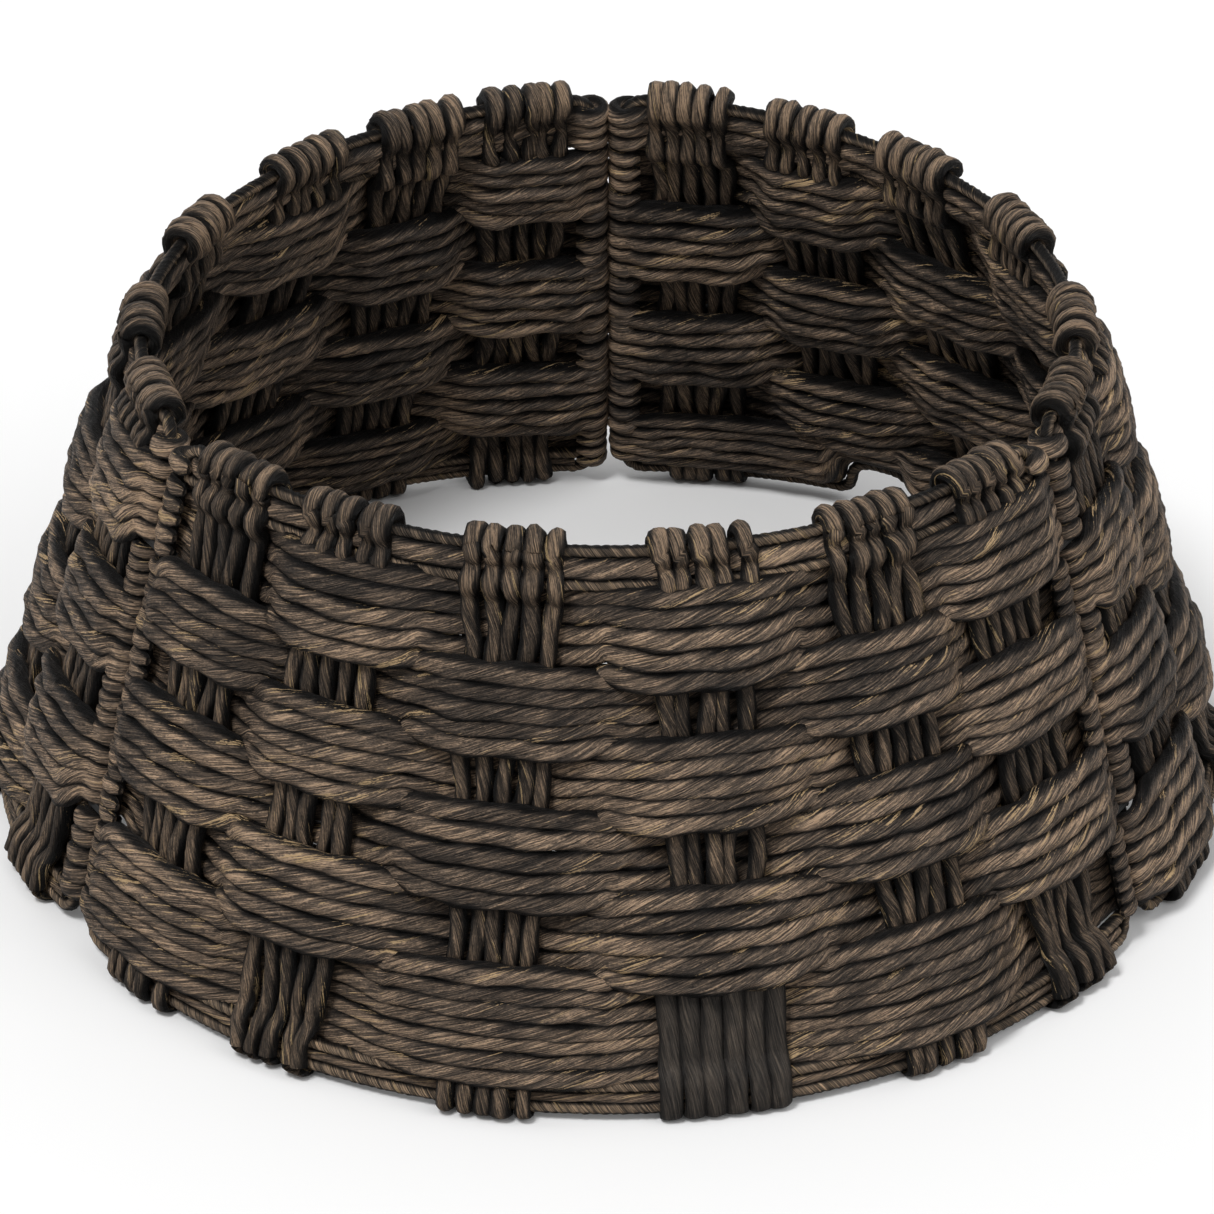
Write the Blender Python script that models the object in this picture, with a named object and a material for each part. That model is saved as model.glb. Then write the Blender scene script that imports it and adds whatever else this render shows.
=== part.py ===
"""Christmas tree collar: three hinged panels of dark twisted rope, basket-woven on wire frames.

Each panel is a 120 degree share of a flared ring. Six bundles of upright rope hook round a double
top rail and a double foot rail, and six bands of level rope weave before and behind them, turning
back round the end rods. The side panels swing outward on their end rods, which ties hold to the
front panel's rods, and two wire clips close the seam at the back. The collar stands on Z = 0
around the Z axis, with its front towards -Y.
"""

import math

import bmesh
import bpy
from mathutils import Matrix, Vector

# Driving sizes, in metres.
RAIL_RISE = 0.271
FOOT_SEAM_RADIUS = 0.316
FOOT_MID_RADIUS = 0.327
TOP_SEAM_RADIUS = 0.248
TOP_MID_RADIUS = 0.239
ROD_SPACING = 0.020
CLEARANCE = 0.0004

# Wire frame: wrapped rails and bare end rods.
RAIL_RADIUS = 0.0033
TOP_RAIL_PITCH = 0.017
BACK_TOP_RAIL_PITCH = 0.031
FOOT_RAIL_PITCH = 0.011
ROD_RADIUS = 0.0023
CORNER_RADIUS = 0.011
RAIL_END_GAP = 0.0008

# Upright rope bundles, from each panel's left rod to its right rod, seen from outside.
STAKE_WIDTH = 0.048
STAKE_THICKNESS = 0.0080
STAKE_SWAY = 0.0022
STAKE_SHIFT = 0.010
TOP_WRAP = 0.0062
FOOT_WRAP = 0.0036
FRONT_COLUMN_SHARES = (-0.830, -0.540, -0.190, 0.180, 0.543, 0.833)
LEFT_COLUMN_SHARES = (-0.857, -0.588, -0.285, 0.100, 0.530, 0.855)
RIGHT_COLUMN_SHARES = (-0.855, -0.530, -0.100, 0.270, 0.575, 0.857)

# Level rope bands, from the top row down, at the front seams and at the back seam.
BAND_THICKNESS = 0.0080
BAND_GAP = 0.0008
BAND_FLOAT = 0.0068
BAND_CROWN = 0.0082
END_WRAP = 0.0062
EDGE_BEVEL = 0.0040
BEVEL_MOST_SHARE = 0.33
ROW_SHARES = (0.170, 0.145, 0.147, 0.165, 0.166, 0.207)
BACK_ROW_SHARES = (0.174, 0.191, 0.174, 0.170, 0.174, 0.117)

# Ties round each pair of hinge rods, and the clips of the back seam.
TIE_HEIGHT = 0.0050
TIE_THICKNESS = 0.0016
TIE_CLEARANCE = 0.0008
CLIP_WIRE_RADIUS = 0.0008
TIED_ROWS = (1, 5)

# Cord notch in the foot of the right panel.
NOTCH_WIDTH = 0.039
NOTCH_CROWN_WIDTH = 0.027
NOTCH_HEIGHT = 0.027
NOTCH_FOOT_RADIUS = 0.008
NOTCH_CROWN_RADIUS = 0.014
NOTCH_INNER_FOOT_RADIUS = 0.003
NOTCH_MIDDLE_SHARE = 0.530
NOTCH_COLUMN = 4

# Counts and angles.
PANELS = 3
SEAM_ANGLE = math.pi / PANELS
COLUMN_NAMES = "abcdef"
WRAP_FACETS = 5
END_FACETS = 4
CORNER_FACETS = 4
TUBE_RESOLUTION = 1
CLIP_FACETS = 6
HOOK_START = math.radians(-30)
HOOK_END = math.radians(-270)
CRADLE_SPREAD = math.radians(75)
SHARP_EDGE = math.radians(50)

# What follows from the driving sizes.
WRAP_STRETCH = 1 / math.cos(math.pi / WRAP_FACETS / 2)
END_STRETCH = 1 / math.cos(math.pi / END_FACETS / 2)
FOOT_WRAP_CENTRE = (RAIL_RADIUS + CLEARANCE) * WRAP_STRETCH + FOOT_WRAP / 2
TOP_WRAP_CENTRE = (RAIL_RADIUS + CLEARANCE) * END_STRETCH + TOP_WRAP / 2
END_WRAP_CENTRE = (ROD_RADIUS + CLEARANCE) * END_STRETCH + END_WRAP / 2
FOOT_LEVEL = (FOOT_WRAP_CENTRE + FOOT_WRAP / 2) / WRAP_STRETCH
SLANT = math.hypot(RAIL_RISE, FOOT_MID_RADIUS - TOP_MID_RADIUS)
RAIL_PASS = RAIL_RADIUS + CLEARANCE + STAKE_THICKNESS / 2
LINE_GAP_SHARE = BAND_GAP / 2 / SLANT
RAIL_MARGIN_SHARE = RAIL_RADIUS / SLANT + LINE_GAP_SHARE
FOOT_INNER_SHARE = FOOT_RAIL_PITCH / SLANT
TIE_BORE = (ROD_RADIUS + CLEARANCE) * END_STRETCH
TIE_REACH = TIE_BORE + TIE_THICKNESS + TIE_CLEARANCE
CLIP_ARM = ROD_RADIUS + CLEARANCE + CLIP_WIRE_RADIUS


def mix(first, last, share):
    return first + (last - first) * share


def row_lines(top_rail_pitch, row_shares):
    """Height shares of the lines between the rows of the weave, from the top down."""
    lines = [1 - top_rail_pitch / SLANT - RAIL_MARGIN_SHARE]
    reach = lines[0] - FOOT_INNER_SHARE - RAIL_MARGIN_SHARE
    for share in row_shares:
        lines.append(lines[-1] - reach * share / sum(row_shares))
    return lines


ROW_LINES = row_lines(TOP_RAIL_PITCH, ROW_SHARES)
BACK_ROW_LINES = row_lines(BACK_TOP_RAIL_PITCH, BACK_ROW_SHARES)


class Panel:
    """A ruled surface between the arcs of the foot rail and the top rail.

    A place on it is an across share from -1 at its left rod, seen from outside, to 1 at its right
    rod, a height share from 0 at the foot rail to 1 at the top rail, and an outward offset. The
    back end is the rod that stands at the back seam, 0 on the front panel, which has none.
    """

    def __init__(self, name, turn, columns, back_end=0, notched=False):
        self.name = name
        self.turn = Matrix.Rotation(turn, 3, "Z")
        self.columns = columns
        self.back_end = back_end
        self.notched = notched

    def line(self, number, across):
        """Height share of a line between rows, which on a side panel slopes to the back seam."""
        back_share = (1 + self.back_end * across) / 2 if self.back_end else 0
        return mix(ROW_LINES[number], BACK_ROW_LINES[number], back_share)

    def arc(self, height):
        """Radius, half angle and distance of centre from the axis, of the arc at a height share."""
        seam = mix(FOOT_SEAM_RADIUS, TOP_SEAM_RADIUS, height)
        middle = mix(FOOT_MID_RADIUS, TOP_MID_RADIUS, height)
        half_chord = seam * math.sin(SEAM_ANGLE) - ROD_SPACING / 2 * math.cos(SEAM_ANGLE)
        depth = seam * math.cos(SEAM_ANGLE) + ROD_SPACING / 2 * math.sin(SEAM_ANGLE)
        bow = middle - depth
        radius = (half_chord**2 + bow**2) / (2 * bow)
        return radius, math.asin(half_chord / radius), middle - radius

    def across_share(self, length, height):
        """The across share that a length along the arc takes up."""
        radius, half_angle, _ = self.arc(height)
        return length / (radius * half_angle)

    def outward(self, across, height):
        """Level direction square to the arc."""
        angle = self.arc(height)[1] * across
        return self.turn @ Vector((math.sin(angle), -math.cos(angle), 0))

    def along(self, across, height):
        """Level direction along the arc, towards the panel's right rod."""
        angle = self.arc(height)[1] * across
        return self.turn @ Vector((math.cos(angle), math.sin(angle), 0))

    def point(self, across, height):
        radius, half_angle, centre = self.arc(height)
        angle = half_angle * across
        level = FOOT_LEVEL + RAIL_RISE * height
        flat = Vector((radius * math.sin(angle), -centre - radius * math.cos(angle), level))
        return self.turn @ flat

    def rise(self, across):
        """Direction up the slope, from the foot rail to the top rail."""
        return (self.point(across, 1) - self.point(across, 0)).normalized()

    def normal(self, across, height):
        return self.along(across, height).cross(self.rise(across)).normalized()

    def place(self, across, height, offset=0):
        return self.point(across, height) + self.normal(across, height) * offset

    def column_edges(self, column, height):
        """Across shares of the two sides of an upright bundle."""
        half = self.across_share(STAKE_WIDTH / 2, height)
        return self.columns[column] - half, self.columns[column] + half

    def stake_side(self, row, column):
        """1 where an upright bundle shows outside the band, -1 where it lies inside it.

        The bundle over the notch stays on its side of the row above down to its end.
        """
        if self.notched and column == NOTCH_COLUMN and row == len(ROW_SHARES) - 1:
            row -= 1
        return 1 if (row + column) % 2 == 0 else -1


def flat_section(first, last, bevel, half_thickness, place):
    """Six points round a flat rope bundle: its two edges and the corners of its two faces."""
    return [
        place(first, 0),
        place(first + bevel, half_thickness),
        place(last - bevel, half_thickness),
        place(last, 0),
        place(last - bevel, -half_thickness),
        place(first + bevel, -half_thickness),
    ]


def loft(name, sections):
    """A closed body through a row of sections that have the same number of points."""
    mesh = bpy.data.meshes.new(name)
    shape = bmesh.new()
    rings = [[shape.verts.new(point) for point in section] for section in sections]
    for before, after in zip(rings, rings[1:]):
        for index in range(len(before)):
            following = (index + 1) % len(before)
            shape.faces.new((before[index], before[following], after[following], after[index]))
    shape.faces.new(rings[0])
    shape.faces.new(rings[-1])
    bmesh.ops.recalc_face_normals(shape, faces=shape.faces)
    shape.to_mesh(mesh)
    shape.free()
    mesh.shade_smooth()
    mesh.set_sharp_from_angle(angle=SHARP_EDGE)
    return bpy.data.objects.new(name, mesh)


def tube(name, points, radius, resolution=TUBE_RESOLUTION):
    """A round wire or rail through a row of points."""
    curve = bpy.data.curves.new(name, "CURVE")
    curve.dimensions = "3D"
    curve.bevel_depth = radius
    curve.bevel_resolution = resolution
    curve.use_fill_caps = True
    spline = curve.splines.new("POLY")
    spline.points.add(len(points) - 1)
    for spot, point in zip(spline.points, points):
        spot.co = (*point, 1)
    return bpy.data.objects.new(name, curve)


def half_turns(facets, reverse=False):
    """Angles of the stations of a strip that goes half round a rail or rod."""
    angles = [math.pi * step / facets for step in range(facets + 1)]
    return angles[::-1] if reverse else angles


def stake_wrap(panel, column, top, side, reverse):
    """Sections of an upright bundle where it goes half round the top rail or the foot rail."""
    height = 1 if top else 0
    beyond = Vector((0, 0, 1 if top else -1))
    middle = TOP_WRAP_CENTRE if top else FOOT_WRAP_CENTRE
    half_thickness = (TOP_WRAP if top else FOOT_WRAP) / 2
    first, last = panel.column_edges(column, height)
    bevel = panel.across_share(EDGE_BEVEL, height)
    sections = []
    for angle in half_turns(END_FACETS if top else WRAP_FACETS, reverse):

        def place(across, offset, angle=angle):
            way = panel.outward(across, height) * (side * math.cos(angle)) + beyond * math.sin(angle)
            return panel.point(across, height) + way * (middle + side * offset)

        sections.append(flat_section(first, last, bevel, half_thickness, place))
    return sections


def stake_section(panel, column, line, above, offset):
    """Section of an upright bundle, a share above a line between rows, at an offset of its middle."""
    middle = panel.line(line, panel.columns[column]) + above
    first, last = panel.column_edges(column, middle)
    bevel = panel.across_share(EDGE_BEVEL, middle)

    def place(across, rise):
        return panel.place(across, panel.line(line, across) + above, offset + rise)

    return flat_section(first, last, bevel, STAKE_THICKNESS / 2, place)


def stakes(panel, column):
    """A bundle of upright ropes, from its turn over the top rail to its turn under the foot rail."""
    foot_line = len(ROW_SHARES)
    top_side = panel.stake_side(0, column)
    foot_side = panel.stake_side(foot_line - 1, column)
    settle = STAKE_SHIFT / 2 / SLANT
    sections = stake_wrap(panel, column, True, top_side, True)
    sections.append(stake_section(panel, column, 0, LINE_GAP_SHARE, top_side * RAIL_PASS))
    sections.append(stake_section(panel, column, 0, -settle, top_side * STAKE_SWAY))
    for line in range(1, foot_line):
        before = panel.stake_side(line - 1, column) * STAKE_SWAY
        after = panel.stake_side(line, column) * STAKE_SWAY
        sections.append(stake_section(panel, column, line, settle, before))
        sections.append(stake_section(panel, column, line, -settle, after))
    if panel.notched and column == NOTCH_COLUMN:
        above = notch_top_share() - ROW_LINES[foot_line]
        sections.append(stake_section(panel, column, foot_line, above, foot_side * STAKE_SWAY))
    else:
        sections.append(stake_section(panel, column, foot_line, settle, foot_side * STAKE_SWAY))
        sections.append(stake_section(panel, column, foot_line, -LINE_GAP_SHARE, foot_side * RAIL_PASS))
        sections += stake_wrap(panel, column, False, foot_side, False)
    return loft(f"{panel.name}_stakes_{COLUMN_NAMES[column]}", sections)


def rounded_path(corners, radii):
    """Points of a flat line through corners, each rounded by its own radius."""
    path = [corners[0]]
    for before, corner, after, radius in zip(corners, corners[1:], corners[2:], radii):
        back = (before - corner).normalized()
        ahead = (after - corner).normalized()
        half = back.angle(ahead) / 2
        centre = corner + (back + ahead).normalized() * (radius / math.sin(half))
        start = corner + back * (radius / math.tan(half)) - centre
        end = corner + ahead * (radius / math.tan(half)) - centre
        for step in range(CORNER_FACETS + 1):
            path.append(centre + start.slerp(end, step / CORNER_FACETS) * radius)
    path.append(corners[-1])
    return path


def notch_line(inner):
    """The line of the foot rail, or of the rail inside it, over the notch, across and up the slope."""
    apart = FOOT_RAIL_PITCH if inner else 0
    half_width = NOTCH_WIDTH / 2 + RAIL_RADIUS + apart
    half_crown = NOTCH_CROWN_WIDTH / 2 + RAIL_RADIUS + apart
    crown = NOTCH_HEIGHT + RAIL_RADIUS - FOOT_LEVEL + apart
    foot_radius = NOTCH_INNER_FOOT_RADIUS if inner else NOTCH_FOOT_RADIUS
    crown_radius = NOTCH_CROWN_RADIUS + apart / 2
    start = half_width + foot_radius
    corners = [
        Vector((-start, apart)),
        Vector((-half_width, apart)),
        Vector((-half_crown, crown)),
        Vector((half_crown, crown)),
        Vector((half_width, apart)),
        Vector((start, apart)),
    ]
    return rounded_path(corners, (foot_radius, crown_radius, crown_radius, foot_radius))


def notch_top_share():
    """Height share just above the rail that goes over the notch."""
    crown = NOTCH_HEIGHT + RAIL_RADIUS - FOOT_LEVEL + FOOT_RAIL_PITCH
    return crown / SLANT + RAIL_MARGIN_SHARE


def rail_height(panel, name, across):
    """Height share of one of the panel's rails at an across share."""
    heights = {
        "foot_rail": 0,
        "inner_foot_rail": FOOT_INNER_SHARE,
        "inner_top_rail": panel.line(0, across) + RAIL_MARGIN_SHARE,
        "top_rail": 1,
    }
    return heights[name]


def rail(panel, name, end_gap):
    """A wrapped rail from rod to rod, led over the notch where the panel has one."""
    ends = [side * (1 - panel.across_share(end_gap, rail_height(panel, name, side))) for side in (-1, 1)]
    edges = []
    for column, middle in enumerate(panel.columns):
        edges += panel.column_edges(column, rail_height(panel, name, middle))
    stations = [ends[0], *(edge for edge in edges if ends[0] < edge < ends[1]), ends[1]]
    path = [(across, rail_height(panel, name, across)) for across in stations]
    if panel.notched and name.endswith("foot_rail"):
        line = notch_line(name == "inner_foot_rail")
        first = NOTCH_MIDDLE_SHARE + panel.across_share(line[0].x, 0)
        last = NOTCH_MIDDLE_SHARE + panel.across_share(line[-1].x, 0)
        over = [(NOTCH_MIDDLE_SHARE + panel.across_share(spot.x, 0), spot.y / SLANT) for spot in line]
        before = [spot for spot in path if spot[0] < first]
        after = [spot for spot in path if spot[0] > last]
        path = before + over + after
    return tube(f"{panel.name}_{name}", [panel.place(*spot) for spot in path], RAIL_RADIUS)


def end_rod(panel, side):
    """The bare rod at one end of the panel, bent over into the top rail and the foot rail."""
    bend = CORNER_RADIUS
    points = []
    for step in range(CORNER_FACETS + 1):
        angle = math.pi / 2 * step / CORNER_FACETS
        inward = panel.across_share(bend * (1 - math.sin(angle)), 0)
        points.append(panel.place(side * (1 - inward), bend * (1 - math.cos(angle)) / SLANT))
    for step in range(CORNER_FACETS + 1):
        angle = math.pi / 2 * step / CORNER_FACETS
        inward = panel.across_share(bend * (1 - math.cos(angle)), 1)
        points.append(panel.place(side * (1 - inward), 1 - bend * (1 - math.sin(angle)) / SLANT))
    hand = "left" if side < 0 else "right"
    return tube(f"{panel.name}_{hand}_rod", points, ROD_RADIUS)


def frame(panel):
    """The rails and end rods of one panel."""
    return [
        rail(panel, "foot_rail", CORNER_RADIUS + RAIL_END_GAP),
        rail(panel, "inner_foot_rail", ROD_RADIUS + RAIL_END_GAP),
        rail(panel, "inner_top_rail", ROD_RADIUS + RAIL_END_GAP),
        rail(panel, "top_rail", CORNER_RADIUS + RAIL_END_GAP),
        end_rod(panel, -1),
        end_rod(panel, 1),
    ]


def end_wrap(panel, end, side, first, last, reverse):
    """Sections of a band where it goes half round an end rod."""
    bevel = EDGE_BEVEL / SLANT
    sections = []
    for angle in half_turns(END_FACETS, reverse):

        def place(height, offset, angle=angle):
            normal = panel.normal(end, height)
            beyond = panel.rise(end).cross(normal) * end
            way = normal * (side * math.cos(angle)) + beyond * math.sin(angle)
            return panel.point(end, height) + way * (END_WRAP_CENTRE + side * offset)

        sections.append(flat_section(first, last, bevel, END_WRAP / 2, place))
    return sections


def band_line(panel, row):
    """Across shares and offsets of the middle of a band, weaving between the upright bundles."""
    line = []
    for column, middle in enumerate(panel.columns):
        height = (panel.line(row, middle) + panel.line(row + 1, middle)) / 2
        side = -panel.stake_side(row, column)
        left, right = panel.column_edges(column, height)
        line += [(left, side * BAND_FLOAT), (middle, side * BAND_CROWN), (right, side * BAND_FLOAT)]
    return line


def notched_foot(panel):
    """Across shares and height shares of the lower edge of the last band over the notch."""
    margin = RAIL_RADIUS + BAND_GAP / 2
    inner = notch_line(True)
    side = inner[-1].x - NOTCH_INNER_FOOT_RADIUS + margin
    crown = notch_top_share()
    shoulder = crown - (NOTCH_CROWN_RADIUS + FOOT_RAIL_PITCH / 2) / 2 / SLANT
    inset = side - (NOTCH_CROWN_RADIUS + FOOT_RAIL_PITCH / 2) / 2
    lows = []
    for spot, low in ((-side - BAND_GAP, None), (-side, shoulder), (-inset, crown)):
        lows.append((NOTCH_MIDDLE_SHARE + panel.across_share(spot, 0), low))
    for spot, low in ((inset, crown), (side, shoulder), (side + BAND_GAP, None)):
        lows.append((NOTCH_MIDDLE_SHARE + panel.across_share(spot, 0), low))
    return lows


def offset_at(line, across):
    """Offset of a band's middle at an across share, read from its line."""
    for (before, low), (after, high) in zip(line, line[1:]):
        if before <= across <= after:
            return mix(low, high, (across - before) / (after - before))
    raise ValueError("the across share lies outside the band's line")


def band_stations(panel, row):
    """Across share, offset, lower edge and upper edge of a band at each change of its section.

    Beside an end rod the band is lower than its row, so that it stays clear of the ties.
    """
    line = band_line(panel, row)
    stations = []
    for across, offset in line:
        low = panel.line(row + 1, across) + LINE_GAP_SHARE
        stations.append((across, offset, low, panel.line(row, across) - LINE_GAP_SHARE))
    if panel.notched and row == len(ROW_SHARES) - 1:
        cuts = notched_foot(panel)
        foot = ROW_LINES[-1] + LINE_GAP_SHARE
        kept = [spot for spot in stations if not cuts[0][0] < spot[0] < cuts[-1][0]]
        for across, low in cuts:
            high = panel.line(row, across) - LINE_GAP_SHARE
            kept.append((across, offset_at(line, across), low or foot, high))
        for across, offset, _, high in stations:
            if cuts[0][0] < across < cuts[-1][0]:
                kept.append((across, offset, notch_top_share(), high))
        stations = sorted(kept)
    tie_room = (TIE_HEIGHT / 2 + TIE_CLEARANCE) / SLANT
    for end, place in ((-1, 0), (1, len(stations) + 1)):
        across = end * (1 - panel.across_share(TIE_REACH, panel.line(row, end)))
        low = panel.line(row + 1, across) + tie_room
        offset = line[0 if end < 0 else -1][1]
        stations.insert(place, (across, offset, low, panel.line(row, across) - tie_room))
    return stations


def band(panel, row):
    """A band of level ropes, woven between the upright bundles and turned round both end rods."""
    stations = band_stations(panel, row)
    sides = [-panel.stake_side(row, 0), -panel.stake_side(row, len(panel.columns) - 1)]
    sections = end_wrap(panel, -1, sides[0], *stations[0][2:], True)
    for across, offset, low, high in stations:

        def place(height, rise, across=across, offset=offset):
            return panel.place(across, height, offset + rise)

        bevel = min(EDGE_BEVEL / SLANT, (high - low) * BEVEL_MOST_SHARE)
        sections.append(flat_section(low, high, bevel, BAND_THICKNESS / 2, place))
    sections += end_wrap(panel, 1, sides[1], *stations[-1][2:], False)
    return loft(f"{panel.name}_weaver_row_{row + 1}", sections)


def seam_frame(left_of_seam, right_of_seam, row):
    """Axes at a row line of a seam: origin between the rods, X to the second rod, Z up the rods."""
    height = left_of_seam.line(row, 1)
    first = left_of_seam.point(1, height)
    second = right_of_seam.point(-1, height)
    upward = left_of_seam.rise(1)
    across = (second - first).normalized()
    turn = Matrix((across, upward.cross(across), upward)).transposed()
    return Matrix.Translation((first + second) / 2) @ turn.to_4x4()


def stadium(radius):
    """Points of the outline round both rods of a seam, at a distance from their centres."""
    outline = []
    for end, start in ((1, -math.pi / 2), (-1, math.pi / 2)):
        for turn in half_turns(END_FACETS):
            angle = start + turn
            outline.append((end * ROD_SPACING / 2 + radius * math.cos(angle), radius * math.sin(angle)))
    return outline


def tie(name, place):
    """A flat ring round the two rods of a seam."""
    curve = bpy.data.curves.new(name, "CURVE")
    curve.dimensions = "2D"
    curve.fill_mode = "BOTH"
    curve.extrude = TIE_HEIGHT / 2
    for radius in (TIE_BORE, TIE_BORE + TIE_THICKNESS):
        spline = curve.splines.new("POLY")
        outline = stadium(radius)
        spline.points.add(len(outline) - 1)
        for spot, (x, y) in zip(spline.points, outline):
            spot.co = (x, y, 0, 1)
        spline.use_cyclic_u = True
    ring = bpy.data.objects.new(name, curve)
    ring.matrix_world = place
    return ring


def clip(name, place):
    """A wire clip: most of a turn round the second rod, then a cradle that the first rod snaps into."""
    points = []
    for step in range(CLIP_FACETS + 1):
        angle = mix(HOOK_START, HOOK_END, step / CLIP_FACETS)
        spot = (ROD_SPACING / 2 + CLIP_ARM * math.cos(angle), CLIP_ARM * math.sin(angle), 0)
        points.append(spot)
    for step in range(CLIP_FACETS + 1):
        angle = mix(CRADLE_SPREAD, -CRADLE_SPREAD, step / CLIP_FACETS)
        spot = (CLIP_ARM * math.cos(angle) - ROD_SPACING / 2, CLIP_ARM * math.sin(angle), 0)
        points.append(spot)
    return tube(name, [place @ Vector(spot) for spot in points], CLIP_WIRE_RADIUS)


def material(name, colour, roughness, metallic=0.0):
    skin = bpy.data.materials.new(name)
    skin.use_nodes = True
    shader = skin.node_tree.nodes["Principled BSDF"]
    shader.inputs["Base Color"].default_value = (*colour, 1)
    shader.inputs["Roughness"].default_value = roughness
    shader.inputs["Metallic"].default_value = metallic
    return skin


def hinge_empty(panel, end, collection):
    """An empty on a side panel's end rod, its Z up the rod, that carries the whole panel."""
    upward = panel.rise(end)
    across = panel.along(end, 0)
    turn = Matrix((across, upward.cross(across).normalized(), upward))
    turn[0] = turn[1].cross(turn[2])
    pivot = bpy.data.objects.new(f"{panel.name}_panel_hinge", None)
    pivot.matrix_world = Matrix.Translation(panel.point(end, 0)) @ turn.transposed().to_4x4()
    collection.objects.link(pivot)
    return pivot


def add(piece, skin, collection, pivot=None):
    """Puts a piece in the collection with a material, carried by its panel's hinge."""
    piece.data.materials.append(skin)
    collection.objects.link(piece)
    if pivot is not None:
        piece.parent = pivot
        piece.matrix_parent_inverse = pivot.matrix_world.inverted()


def build():
    for thing in list(bpy.data.objects):
        bpy.data.objects.remove(thing, do_unlink=True)
    collection = bpy.data.collections.new("christmas_tree_collar")
    bpy.context.scene.collection.children.link(collection)
    upright_rope = material("upright_rope", (0.036, 0.028, 0.023), 0.62)
    level_rope = material("level_rope", (0.044, 0.033, 0.025), 0.60)
    rail_rope = material("rail_rope", (0.050, 0.039, 0.030), 0.58)
    rod_wire = material("rod_wire", (0.020, 0.019, 0.018), 0.45, 0.8)
    tie_cord = material("tie_cord", (0.012, 0.012, 0.012), 0.5)
    clip_wire = material("clip_wire", (0.45, 0.43, 0.40), 0.35, 1.0)

    front = Panel("front", 0, FRONT_COLUMN_SHARES)
    left = Panel("left", -2 * SEAM_ANGLE, LEFT_COLUMN_SHARES, back_end=-1)
    right = Panel("right", 2 * SEAM_ANGLE, RIGHT_COLUMN_SHARES, back_end=1, notched=True)
    left_pivot = hinge_empty(left, 1, collection)
    right_pivot = hinge_empty(right, -1, collection)

    for panel, pivot in ((front, None), (left, left_pivot), (right, right_pivot)):
        for piece in frame(panel):
            skin = rod_wire if piece.name.endswith("_rod") else rail_rope
            add(piece, skin, collection, pivot)
        for row in range(len(ROW_SHARES)):
            add(band(panel, row), level_rope, collection, pivot)
        for column in range(len(panel.columns)):
            add(stakes(panel, column), upright_rope, collection, pivot)

    for row, level in zip(TIED_ROWS, ("upper", "lower")):
        add(tie(f"left_hinge_tie_{level}", seam_frame(left, front, row)), tie_cord, collection)
        add(tie(f"right_hinge_tie_{level}", seam_frame(front, right, row)), tie_cord, collection)
        place = seam_frame(right, left, row)
        add(clip(f"back_clip_{level}", place), clip_wire, collection, left_pivot)


build()
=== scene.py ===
"""Looks of the christmas tree collar: wound wire frames, hooked upright ropes and woven level ropes."""

import math

import bpy
import numpy as np
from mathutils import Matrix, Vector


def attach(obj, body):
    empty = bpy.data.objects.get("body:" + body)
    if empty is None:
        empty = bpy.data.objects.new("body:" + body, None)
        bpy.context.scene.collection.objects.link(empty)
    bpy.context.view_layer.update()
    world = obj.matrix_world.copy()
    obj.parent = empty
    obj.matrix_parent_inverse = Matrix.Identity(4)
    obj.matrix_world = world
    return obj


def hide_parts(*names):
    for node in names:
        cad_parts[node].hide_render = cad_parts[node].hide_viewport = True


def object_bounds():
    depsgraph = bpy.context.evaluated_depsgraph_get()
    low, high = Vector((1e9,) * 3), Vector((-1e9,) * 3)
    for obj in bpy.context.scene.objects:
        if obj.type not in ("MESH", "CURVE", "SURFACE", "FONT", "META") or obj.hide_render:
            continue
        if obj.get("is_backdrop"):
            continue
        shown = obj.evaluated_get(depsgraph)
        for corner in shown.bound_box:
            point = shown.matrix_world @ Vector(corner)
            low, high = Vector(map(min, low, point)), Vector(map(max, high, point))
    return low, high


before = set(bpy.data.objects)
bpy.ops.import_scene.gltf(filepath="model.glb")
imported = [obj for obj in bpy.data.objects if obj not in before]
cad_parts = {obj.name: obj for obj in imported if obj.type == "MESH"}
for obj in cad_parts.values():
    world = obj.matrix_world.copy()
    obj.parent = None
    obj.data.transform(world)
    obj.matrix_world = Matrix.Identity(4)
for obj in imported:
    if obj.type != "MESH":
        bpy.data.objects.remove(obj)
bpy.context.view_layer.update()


# Wound rails: four steel wires a panel, each wound tightly with thin dark twisted strip. The lower
# two carry the foot edge and the upper two the rim, and at the corners they run into the end rods.
# On the right panel the foot rails are bent up and over in an arch that lets a cord through.

RAIL_RISE = 0.271
FOOT_SEAM_RADIUS = 0.316
FOOT_MID_RADIUS = 0.327
TOP_SEAM_RADIUS = 0.248
TOP_MID_RADIUS = 0.239
ROD_SPACING = 0.020
FOOT_LEVEL = 0.007124
SEAM_ANGLE = math.pi / 3
SLANT = math.hypot(RAIL_RISE, FOOT_MID_RADIUS - TOP_MID_RADIUS)

RAIL_RADIUS = 0.0033
ROD_RADIUS = 0.0023
CORNER_RADIUS = 0.011
SKIN_GAP = 0.0004
TOP_RAIL_PITCH = 0.017
BACK_TOP_RAIL_PITCH = 0.031
FOOT_RAIL_PITCH = 0.011
RAIL_MARGIN_SHARE = (RAIL_RADIUS + SKIN_GAP) / SLANT
FOOT_INNER_SHARE = FOOT_RAIL_PITCH / SLANT
ROW_SHARES = (0.170, 0.145, 0.147, 0.165, 0.166, 0.207)
BACK_ROW_SHARES = (0.174, 0.191, 0.174, 0.170, 0.174, 0.117)
ROWS = len(ROW_SHARES)
COLUMNS = 6
NOTCH_MIDDLE_SHARE = 0.530
NOTCH_COLUMN = 4


def mix(first, last, share):
    return first + (last - first) * share


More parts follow.
